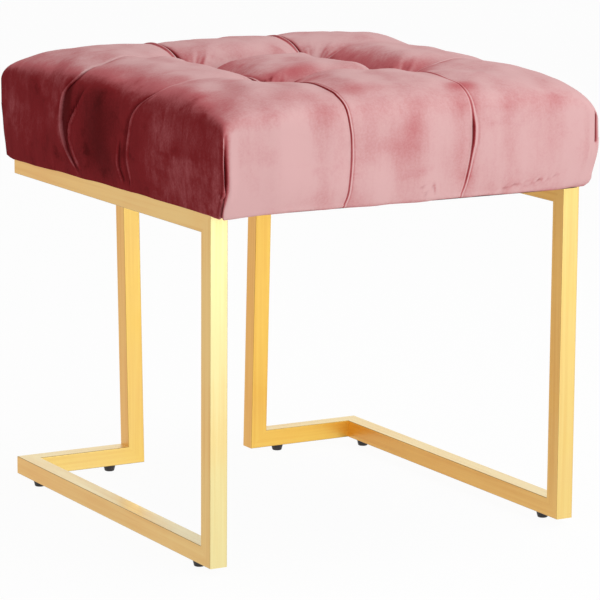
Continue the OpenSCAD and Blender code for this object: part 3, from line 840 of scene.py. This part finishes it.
# moves of the coarse cover carried to the fine one, over the top and down the sides
def carryMoves(coarse, fine, topMove, sideMove):
    ni, nj = coarse.shapeTop
    first = coarse.drops[0]
    wide = np.zeros((ni + 2, nj + 2, 3))
    wide[1:-1, 1:-1] = topMove
    ring = sideMove[0]
    wide[1:-1, 0] = ring[:ni]
    wide[-1, 1:-1] = ring[ni - 1:ni + nj - 1]
    wide[1:-1, -1] = ring[ni + nj - 2:2 * ni + nj - 2][::-1]
    wide[0, 1:-1] = np.concatenate([ring[2 * ni + nj - 3:], ring[:1]])[::-1]
    for i, besideI in ((0, 1), (-1, -2)):
        for j, besideJ in ((0, 1), (-1, -2)):
            wide[i, j] = (wide[besideI, j] + wide[i, besideJ]) / 2
    knotsX = np.concatenate([[coarse.x.s[0] - first], coarse.x.s, [coarse.x.s[-1] + first]])
    knotsY = np.concatenate([[coarse.y.s[0] - first], coarse.y.s, [coarse.y.s[-1] + first]])
    top = curveThrough(wide, knotsX, fine.x.s)
    top = curveThrough(top.transpose(1, 0, 2), knotsY, fine.y.s).transpose(1, 0, 2)
    # sides: one ring above the rim comes from the top's second lines
    inner = np.concatenate([topMove[:-1, 1], topMove[-2, :-1], topMove[:0:-1, -2], topMove[1, :0:-1]])
    rim = topMove.reshape(-1, 3)[coarse.rim]
    tall = np.concatenate([inner[None], rim[None], sideMove])
    levels = np.concatenate([[-(coarse.x.s[-1] - coarse.x.s[-2]), 0.0], coarse.drops])
    side = curveThrough(tall, levels, fine.drops)
    turns = np.concatenate([side[:, -2:], side, side[:, :2]], 1).transpose(1, 0, 2)
    once = coarse.roundTotal
    knots = np.concatenate([coarse.round[-2:] - once, coarse.round, coarse.round[:2] + once])
    side = curveThrough(turns, knots, fine.round).transpose(1, 0, 2)
    return top, side


# sum at each point of the values of the quads that it belongs to
def scattered(faces, values, count):
    sums = [sum(np.bincount(faces[:, k], values[:, axis], count) for k in range(4)) for axis in range(3)]
    return np.stack(sums, -1)


def vertexNormals(points, faces):
    a, b, c, d = (points[faces[:, k]] for k in range(4))
    total = scattered(faces, np.cross(c - a, d - b), len(points))
    return total / np.maximum(np.linalg.norm(total, axis=1, keepdims=True), 1e-12)


# how firmly the cloth is held at each point of the coarse cover: in full at the tufts and between them,
# weakly along the outer creases, and more and more towards the rail
def heldWeights(grid):
    c, s = cushion, clothSet
    du = np.abs(np.abs(grid.x.s) - grid.x.crease)[:, None] + 0 * grid.v
    dv = np.abs(np.abs(grid.y.s) - grid.y.crease)[None, :] + 0 * grid.u
    inU = (np.abs(grid.x.s) < grid.x.crease + s["pastTuft"])[:, None]
    inV = (np.abs(grid.y.s) < grid.y.crease + s["pastTuft"])[None, :]
    left, front = (grid.x.s < 0)[:, None], (grid.y.s < 0)[None, :]
    outer = s["outerHold"]
    alongY = np.where(front, np.where(left, outer["front", -1], outer["front", 1]),
                      np.where(left, outer["back", -1], outer["back", 1]))
    alongX = np.where(left, np.where(front, outer["left", -1], outer["left", 1]),
                      np.where(front, outer["right", -1], outer["right", 1]))
    hold = np.maximum(np.where(du < 1 * mm, np.where(inV, 1.0, alongY), 0),
                      np.where(dv < 1 * mm, np.where(inU, 1.0, alongX), 0))
    hold = np.maximum(hold, np.where((du < s["tuftHold"]) & (dv < s["tuftHold"]), 1.0, 0.0))
    onCrease = [np.abs(np.abs(rim) - c["tuftAt"]) < 1e-6 for rim in (grid.rimU, grid.rimV)]
    sideHold = np.where((onCrease[0] | onCrease[1])[None, :], s["sideHold"], 0.0) * np.ones(grid.shapeSide)
    low = grid.drops[:, None] / grid.drops[-1]
    sideHold = np.maximum(sideHold, np.clip((low - s["railFrom"]) / s["railOver"], 0, 1))
    return np.concatenate([hold.ravel(), sideHold.ravel()])


def addHeldGroup(piece, weights):
    group = piece.vertex_groups.new(name="held")
    for value in np.unique(np.round(weights, 2)):
        mine = np.nonzero(np.abs(weights - value) < 0.006)[0]
        if value > 0:
            group.add([int(i) for i in mine], float(value), "REPLACE")


def addCloth(piece, s):
    cloth = piece.modifiers.new("cloth", "CLOTH")
    settings = cloth.settings
    settings.quality = s["quality"]
    settings.mass = s["mass"]
    settings.tension_stiffness = s["stiffness"]
    settings.compression_stiffness = s["stiffness"]
    settings.shear_stiffness = s["stiffness"] * 0.5
    settings.bending_stiffness = s["bending"]
    settings.air_damping = s["damping"]
    settings.use_pressure = True
    settings.uniform_pressure_force = s["pressure"]
    settings.shrink_min = s["grow"]
    settings.vertex_group_mass = "held"
    settings.pin_stiffness = 1.0
    settings.effector_weights.gravity = 0.0
    cloth.collision_settings.use_collision = False
    cloth.point_cache.frame_start = scene.frame_start = 1
    cloth.point_cache.frame_end = scene.frame_end = s["frames"]


# blows the cover up between its tufts, valleys and hem, with Blender's cloth, and gives the moves
def blownMoves(grid):
    s = clothSet
    top, side = grid.points(cushion["startSmaller"])
    start = np.concatenate([top.reshape(-1, 3), side.reshape(-1, 3)])
    faces, last = grid.faces()
    piece = coverPiece("coverForCloth", start, faces, last)
    addHeldGroup(piece, heldWeights(grid))
    addCloth(piece, s)
    for number in range(1, s["frames"] + 1):
        scene.frame_set(number)
    shaped = piece.evaluated_get(bpy.context.evaluated_depsgraph_get())
    points = np.empty(len(start) * 3)
    shaped.data.vertices.foreach_get("co", points)
    scene.frame_set(1)
    bpy.data.objects.remove(piece)
    move = points.reshape(-1, 3) - start
    length = np.linalg.norm(move, axis=1, keepdims=True)
    move = move * np.minimum(1, s["cap"] / np.maximum(length, 1e-9))
    print("stage: cloth moved up to", round(float(length.max() / mm), 1), "mm, mean",
          round(float(length.mean() / mm), 2), "mm")
    # wrinkles as small as one cell of the coarse grid are evened out: each quad takes the mean of its
    # corners, and each point the mean of its quads
    around = np.bincount(faces.ravel(), minlength=len(move))[:, None]
    for _ in range(s["evened"]):
        move = scattered(faces, move[faces].mean(1), len(move)) / np.maximum(around, 1)
    count = grid.index.size
    return move[:count].reshape(top.shape), move[count:].reshape(side.shape)


# share of the cloth's move kept at u, v: a table of the nine fields, read smoothly between their middles
def keptShare(u, v):
    table = np.array(clothSet["kept"][::-1])  # rows from front to back
    i, j = (np.clip(q / (2 * cushion["tuftAt"]) + 1, 0, 2) for q in (u, v))
    i0, j0 = (np.minimum(q.astype(int), 1) for q in (i, j))
    p, q = i - i0, j - j0
    p, q = p * p * (3 - 2 * p), q * q * (3 - 2 * q)
    return ((table[j0, i0] * (1 - p) + table[j0, i0 + 1] * p) * (1 - q)
            + (table[j0 + 1, i0] * (1 - p) + table[j0 + 1, i0 + 1] * p) * q)


# the rounded lower edge, quarter of a circle inwards from the last ring, then the hem turned under the board
def hemRings(last, lowerRound, c):
    halves = np.array([c["halfX"], c["halfY"]])
    inward = -last[:, :2] / halves
    inward = np.sign(inward) * np.abs(inward) ** c["hemPower"]
    inward /= np.linalg.norm(inward, axis=1, keepdims=True)
    rings = []
    for degrees in c["hemTurn"]:
        angle = math.radians(degrees)
        ring = last.copy()
        ring[:, :2] += inward * (lowerRound * (1 - math.cos(angle)))[:, None]
        ring[:, 2] = last[:, 2] - lowerRound * math.sin(angle)
        rings.append(ring)
    lowest = rings[-1]
    for share, lift in c["hemRings"]:
        ring = lowest.copy()
        ring[:, :2] *= 1 - share * c["hem"] / halves
        ring[:, 2] = c["base"] + lift
        rings.append(ring)
    return rings


def makeCover():
    c = cushion
    height = c["belly"] - c["base"]
    fine = CoverGrid(fineSteps, np.linspace(0, height, int(round(height / fineSet["ringStep"])) + 1)[1:])
    coarse = CoverGrid(coarseSteps, np.linspace(0, height, clothSet["sideRings"] + 1)[1:])
    top, side = fine.points(c["startSmaller"])
    topMove, sideMove = carryMoves(coarse, fine, *blownMoves(coarse))
    top = top + topMove * keptShare(fine.u, fine.v)[..., None]
    side = side + sideMove * keptShare(fine.rimU, fine.rimV)[None, :, None]
    extra = hemRings(side[-1], fine.lowerRound, c)
    points = np.concatenate([top.reshape(-1, 3), side.reshape(-1, 3)] + extra)
    faces, lastRing = fine.faces(len(extra))
    points, marks, lay = addFolds(points, faces, fine, len(extra))
    piece = coverPiece("velvetCushion", points, faces, lastRing)
    mesh = piece.data
    mesh.polygons.foreach_set("use_smooth", np.ones(len(mesh.polygons), bool))
    for name, values in marks.items():
        mesh.attributes.new(name, "FLOAT", "POINT").data.foreach_set("value", values.astype(np.float32))
    layRow = lay.astype(np.float32).ravel()
    mesh.attributes.new("lay", "FLOAT_VECTOR", "POINT").data.foreach_set("vector", layRow)
    mesh.materials.append(velvet)
    print("stage: cover has", len(faces), "quads, top at", round(float(points[:, 2].max() / mm), 1), "mm")
    return piece


# cuts along the crease lines: height up the cover from its hem, depth and half width, all in mm, and the
# side on which a lip stands up
creaseCuts = {
    ("front", -1): ([(0, 0.7, 0.9), (8, 0.9, 0.9), (60, 1.0, 0.9), (105, 1.2, 0.9), (150, 1.4, 1.0),
                     (260, 1.6, 1.1)], 1),
    ("front", 1): ([(0, 0.4, 0.9), (20, 0.8, 0.9), (46, 1.0, 1.1), (60, 1.5, 1.5), (82, 1.8, 1.6),
                    (96, 0.6, 1.1), (115, 0.35, 0.9), (150, 0.35, 0.9), (260, 1.2, 1.1)], 1),
    ("left", -1): ([(2, 0.1, 1.8), (14, 1.8, 1.8), (30, 2.6, 2.0), (80, 2.6, 2.0), (105, 1.8, 1.6),
                    (140, 0.4, 1.2), (230, 0.4, 1.0)], -1),
    ("left", 1): ([(2, 0.1, 2.2), (14, 2.4, 2.2), (30, 3.6, 2.4), (70, 3.8, 2.4), (100, 2.8, 2.0),
                   (150, 1.4, 1.4), (230, 1.4, 1.1)], 1),
    ("right", -1): ([(0, 1.4, 1.6), (60, 2.0, 1.6), (110, 1.4, 1.2), (150, 0.6, 1.0), (230, 0.8, 1.0)], 1),
    ("right", 1): ([(0, 1.8, 1.6), (60, 2.6, 1.8), (110, 1.8, 1.4), (150, 0.8, 1.0), (230, 1.0, 1.0)], -1),
    ("back", -1): ([(0, 1.0, 1.0), (60, 1.6, 1.1), (110, 2.6, 1.5), (150, 3.4, 2.0), (230, 3.4, 2.0)], -1),
    ("back", 1): ([(0, 1.0, 1.0), (60, 1.8, 1.2), (110, 2.4, 1.3), (150, 3.0, 1.6), (230, 3.0, 1.6)], -1),
}
cutSet = {
    "innerDepth": 2.6 * mm,  # between the tufts
    "innerWidth": 1.5 * mm,
    "fullFold": 2.2 * mm,  # a cut this deep has the full colour of painted shade
    "lip": 0.6,  # heights as shares of the depth
    "beyond": 0.35,
    "shadow": 0.4,
}
# loose folds on one face: height up from the hem and place along the face, in mm, then depth and half width,
# and the side of the lip
looseFolds = [
    ("left", [(112, 42), (97, 60), (76, 78), (53, 91), (37, 93), (22, 84), (10, 74)], 3.4, 2.2, -1),
    ("left", [(57, -38), (42, -36), (25, -35), (11, -42)], 2.0, 1.9, 1),
    ("left", [(28, -260), (20, -266), (12, -274)], 1.4, 1.4, 1),
    ("front", [(20, 2), (12, 7), (3, 12)], 1.0, 1.8, 1),
    ("front", [(24, 16), (14, 20), (6, 22)], 0.8, 1.8, 1),
    ("front", [(3, 112), (9, 132), (14, 150)], 1.5, 1.6, -1),
    ("front", [(3, 134), (8, 148), (15, 170)], 1.5, 1.6, -1),
    ("front", [(8, 160), (14, 176), (18, 186)], 0.9, 1.6, -1),
    ("right", [(110, -60), (90, -50), (60, -46), (30, -56), (4, -60)], 1.2, 1.6, 1),
    ("back", [(105, 40), (80, 52), (50, 58), (20, 50)], 1.0, 1.6, -1),
    ("back", [(30, -20), (14, -12), (3, -6)], 0.8, 1.8, 1),
]
looseFade = {"before": 6 * mm, "start": 8 * mm, "end": 0.45}  # end is a share of the fold's height
# pleats at the upright corners: height up from the hem and place round the corner (front or back side
# positive), in mm, then depth and half width of the slit
cornerPleats = {
    (-1, -1): ([(0, -4.5), (6, -4), (20, 0.4), (36, 2.2), (60, 1.6), (84, 0.2)], 4.8, 2.0),
    (1, -1): ([(52, 4.5), (70, 3.9), (104, 3.2)], 1.3, 0.9),
    (1, 1): ([(0, 4), (40, 3.4), (95, 2.0)], 3.0, 1.4),
    (-1, 1): ([(0, 4), (40, 3.4), (90, 2.0)], 2.4, 1.3),
}
pleatSet = {
    "start": 4 * mm,
    "end": 8 * mm,
    # the bulge beside a pleat
    "away": 7.0 * mm,
    "width": 4.0 * mm,
    "height": 1.6 * mm,
    "past": 14 * mm,
    "bulgeEnd": 20 * mm,
    "bulgeStart": 30 * mm,
    # share of the painted highlight on the bulge
    "bulgeLight": 0.6,
}
# folds that run out of each tuft: two fans of sine waves, few and broad, many and narrow
tuftFans = [{"count": 9, "depth": 0.9 * mm, "from": 22 * mm, "spread": 15 * mm},
            {"count": 27, "depth": 0.35 * mm, "from": 24 * mm, "spread": 12 * mm}]
ripple = {"waves": 26, "height": 0.35 * mm, "shortest": 28 * mm, "longest": 90 * mm}
wholeTurn = 6.3  # about a full circle, in radians
chance = np.random.RandomState(11)

# places where the pile was brushed the other way, and patches of painted shade between and round folds: face,
# height up from the hem, place along the face, both half sizes, in mm, and strength; on the top, X and Y take
# the first two places
brushedAndShadeSpots = [
    ("top", 92, 112, 24, 26, -0.35), ("top", 112, -10, 16, 60, -0.3), ("top", -62, 10, 14, 45, -0.5),
    ("top", -40, 105, 26, 20, -0.3), ("top", -38, -64, 36, 16, 0.6), ("top", 119, -84, 16, 14, 0.4),
    ("top", -215, -200, 24, 70, 0.35), ("top", -190, -100, 20, 30, 0.25),
    ("front", 146, -60, 13, 34, 0.35), ("front", 138, 70, 13, 20, 0.7), ("front", 84, -8, 12, 22, 0.3),
    ("front", 64, -30, 11, 34, 0.2), ("front", 62, -190, 9, 26, 0.2), ("front", 88, 150, 9, 12, 0.1),
    ("front", 140, -150, 16, 40, 0.15), ("front", 20, 60, 14, 12, 0.2), ("front", 60, -180, 60, 50, -0.25),
    # the first two spots on the left are painted shade between two folds
    ("left", 84, 92, 24, 9, 0.7), ("left", 45, 100, 24, 5, 0.9), ("left", 85, 10, 48, 42, 0.5),
    ("left", 70, 130, 50, 22, -0.2), ("left", 50, 230, 40, 40, -0.25), ("left", 30, 20, 30, 50, 0.4),
    ("left", 60, -200, 60, 60, -0.15), ("left", 85, -160, 60, 50, -0.2), ("left", 60, -262, 60, 22, -0.25),
    ("left", 128, -90, 20, 70, 0.3), ("left", 60, -80, 40, 24, 0.2),
    ("right", 80, 40, 30, 50, 0.3), ("right", 60, -150, 20, 40, 0.3),
    ("back", 80, -100, 20, 60, 0.3), ("back", 110, 80, 20, 50, 0.4),
]
brushedFade = {"from": 0.7, "over": 0.15}  # shares of the half, over which a spot on a side grows


# a cut in section: a bell-shaped groove, a raised lip on one side and a weaker groove beyond the lip; painted
# shade lies in the groove and more weakly on the side away from the lip
def cut(distance, depth, width, lip, beyond):
    near = np.exp(-(distance / width) ** 2)
    rise = np.exp(-((distance - 2.0 * width) / (0.9 * width)) ** 2)
    second = np.exp(-((distance - 3.8 * width) / (0.8 * width)) ** 2)
    dark = np.maximum(near, cutSet["shadow"] * np.exp(-((distance + 1.8 * width) / (2.4 * width)) ** 2))
    return depth * (-near + lip * rise - beyond * second), dark, rise


# every point of the cover in one row, with its place on the cloth, and what the folds add to it: how far it
# is pushed along its normal, how dark the painted shade of a fold makes it and how pale the painted highlight
# of a ridge makes it
class CoverRow:
    def __init__(self, points, grid, extraRings):
        c = cushion
        countTop, n = grid.index.size, len(grid.rim)
        sideRings = grid.shapeSide[0]
        tall = c["belly"] - c["base"]
        self.points = points
        self.u = np.concatenate([grid.u.ravel(), np.tile(grid.rimU, sideRings + extraRings)])
        self.v = np.concatenate([grid.v.ravel(), np.tile(grid.rimV, sideRings + extraRings)])
        drops = np.concatenate([grid.drops, np.full(extraRings, tall)])
        self.drop = np.concatenate([np.zeros(countTop), np.repeat(drops, n)])
        self.low = np.clip(self.drop / tall, 0, 1) ** 2
        hemShares = np.repeat(np.linspace(0.2, 1, extraRings), n)
        self.onHem = np.concatenate([np.zeros(countTop + sideRings * n), hemShares])
        self.body = 1 - self.onHem
        self.upX = upHeight(self.u, c["halfX"], self.drop, c)
        self.upY = upHeight(self.v, c["halfY"], self.drop, c)
        self.push, self.foldShade, self.ridgeHighlight = np.zeros((3, len(points)))
        self.sides = {"front": (False, self.v < 0), "back": (False, self.v > 0),
                      "left": (True, self.u < 0), "right": (True, self.u > 0)}

    def score(self, distance, depth, width):
        move, near, rise = cut(distance, depth, width, cutSet["lip"], cutSet["beyond"])
        share = np.clip(depth / cutSet["fullFold"], 0, 1)
        self.push += move
        self.foldShade = np.maximum(self.foldShade, near * share)
        self.ridgeHighlight = np.maximum(self.ridgeHighlight, rise * np.sqrt(share))

    def cutCreases(self):
        c = cushion
        for (face, which), (table, lipSide) in creaseCuts.items():
            onX, mine = self.sides[face]
            across, along, up = (self.v, self.u, self.upX) if onX else (self.u, self.v, self.upY)
            half = c["halfY"] if onX else c["halfX"]
            inner = np.abs(along) < c["tuftAt"]  # between the tufts both halves meet
            distance = (across - which * c["tuftAt"]) * half * np.where(inner, 1, lipSide)
            values = np.array(table, float) * mm
            depth, width = (np.interp(up, values[:, 0], values[:, k]) for k in (1, 2))
            depth = np.where(inner, cutSet["innerDepth"], depth)
            width = np.where(inner, cutSet["innerWidth"], width)
            self.score(distance, depth * self.body * (mine & (np.sign(across) == which)), width)

    def addLooseFolds(self):
        k = looseFade
        for face, path, depth, width, lipSide in looseFolds:
            onX, mine = self.sides[face]
            place, up, far = (1, self.upX, self.u) if onX else (0, self.upY, self.v)
            at = np.array(sorted(path), float) * mm
            low, high = at[0, 0], at[-1, 0]
            distance = (self.points[:, place] - np.interp(up, at[:, 0], at[:, 1])) * lipSide
            ends = np.clip((up - low + k["before"]) / k["start"], 0, 1)
            ends = ends * np.clip((high - up) / (k["end"] * (high - low)), 0, 1)
            there = ends * mine * self.body * (np.abs(far) > cushion["sideFrom"])
            self.score(distance, depth * mm * there, width * mm)

    def addPleats(self):
        c, k = cushion, pleatSet
        toX, toY = (1 - np.abs(self.u)) * c["halfX"], (1 - np.abs(self.v)) * c["halfY"]
        up = np.minimum(self.upX, self.upY)
        outside = np.maximum(np.abs(self.u), np.abs(self.v)) > c["sideFrom"]
        for (sx, sy), (path, depth, width) in cornerPleats.items():
            at = np.array(path, float) * mm
            low, high = at[0, 0], at[-1, 0]
            mine = (np.sign(self.u) == sx) & (np.sign(self.v) == sy) & outside
            distance = toX - toY - np.interp(up, at[:, 0], at[:, 1])
            ends = np.clip((high - up) / k["end"], 0, 1) * np.clip((up - low + k["start"]) / k["start"], 0, 1)
            here = ends * mine * self.body
            move, near, _ = cut(distance, depth * mm * here, width * mm, 0.0, 0.0)
            bulge = np.exp(-((distance - k["away"]) / k["width"]) ** 2)
            bulge = bulge * np.clip((high + k["past"] - up) / k["bulgeEnd"], 0, 1) * mine * self.body
            self.push += move + k["height"] * bulge * np.clip(up / k["bulgeStart"], 0, 1)
            self.foldShade = np.maximum(self.foldShade, near * here)
            # the bulge gets a painted highlight
            self.ridgeHighlight = np.maximum(self.ridgeHighlight, k["bulgeLight"] * bulge)

    def addFans(self):
        c = cushion
        for sx, sy in ((-1, -1), (-1, 1), (1, -1), (1, 1)):
            dx = self.points[:, 0] - sx * c["tuftAt"] * c["halfX"]
            dy = self.points[:, 1] - sy * c["tuftAt"] * c["halfY"]
            reach, angle = np.hypot(dx, dy), np.arctan2(dy, dx)
            for k in tuftFans:
                waves = [chance.uniform(0.5, 1.0)
                         * np.sin((k["count"] + extra) * angle + chance.uniform(0, wholeTurn))
                         for extra in (-3, 0, 4)]
                near = np.exp(-((reach - k["from"]) / k["spread"]) ** 2) * (self.drop == 0)
                self.push += k["depth"] * sum(waves) / 2 * near

    def addRipple(self):
        k = ripple
        for _ in range(k["waves"]):
            way = chance.normal(size=3)
            way /= np.linalg.norm(way)
            length = chance.uniform(k["shortest"], k["longest"])
            wave = np.sin(self.points @ way * 2 * math.pi / length + chance.uniform(0, wholeTurn))
            self.push += k["height"] * (length / k["longest"]) * wave * self.body

    # how far the pile is brushed the other way and painted with shade at each point, as the sum of its spots
    def brushedAndShade(self):
        total = np.zeros(len(self.points))
        for face, atUp, place, high, wide, strength in brushedAndShadeSpots:
            if face == "top":
                up, along, here = self.points[:, 0], self.points[:, 1], self.drop == 0
            else:
                onX, mine = self.sides[face]
                up, along, out = (self.upX, 1, self.u) if onX else (self.upY, 0, self.v)
                along = self.points[:, along]
                here = mine * np.clip((np.abs(out) - brushedFade["from"]) / brushedFade["over"], 0, 1)
            near = np.exp(-((up / mm - atUp) / high) ** 2 - ((along / mm - place) / wide) ** 2)
            total += strength * here * near
        return total

    # the front's lower edge hangs at the near corner; the left one hangs a little over the rail's outer face,
    # lower towards the back
    def hangEdges(self, points):
        c = cushion
        at = np.array(c["frontEdge"], float) * mm
        over = np.clip((-points[:, 1] - c["frontFrom"]) / c["frontFade"], 0, 1) * self.low
        points[:, 2] += np.interp(points[:, 0], at[:, 0], at[:, 1]) * over
        at = np.array(c["leftEdge"], float) * mm
        lift = np.interp(points[:, 1], at[:, 0], at[:, 1])
        over = (self.u < -0.999) * self.low
        points[:, 2] += lift * over * (self.onHem < 0.5)
        out = np.clip(-lift / mm, 0, 1) * over * (self.onHem < 0.65)
        target = c["leftHang"] + np.where(self.onHem > 0.4, c["leftFold"], 0.0)
        points[:, 0] -= out * np.maximum(0, points[:, 0] - target)


# everything too fine for the cloth, added along the normals: cuts, loose folds, corner pleats, folds that
# run out of the tufts, and a slow ripple made of sine waves
def addFolds(points, faces, grid, extraRings):
    normals = vertexNormals(points, faces)
    row = CoverRow(points, grid, extraRings)
    row.cutCreases()
    row.addLooseFolds()
    row.addPleats()
    row.addFans()
    row.addRipple()
    marks = {"foldShade": np.clip(row.foldShade, 0, 1), "ridgeHighlight": np.clip(row.ridgeHighlight, 0, 1), "brushedAndShade": row.brushedAndShade()}
    points = points + normals * row.push[:, None]
    row.hangEdges(points)
    return points, marks, normals


cover = makeCover()
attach(cover, "stool")
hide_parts("velvet_cover", "wadding_layer", "foam_block")
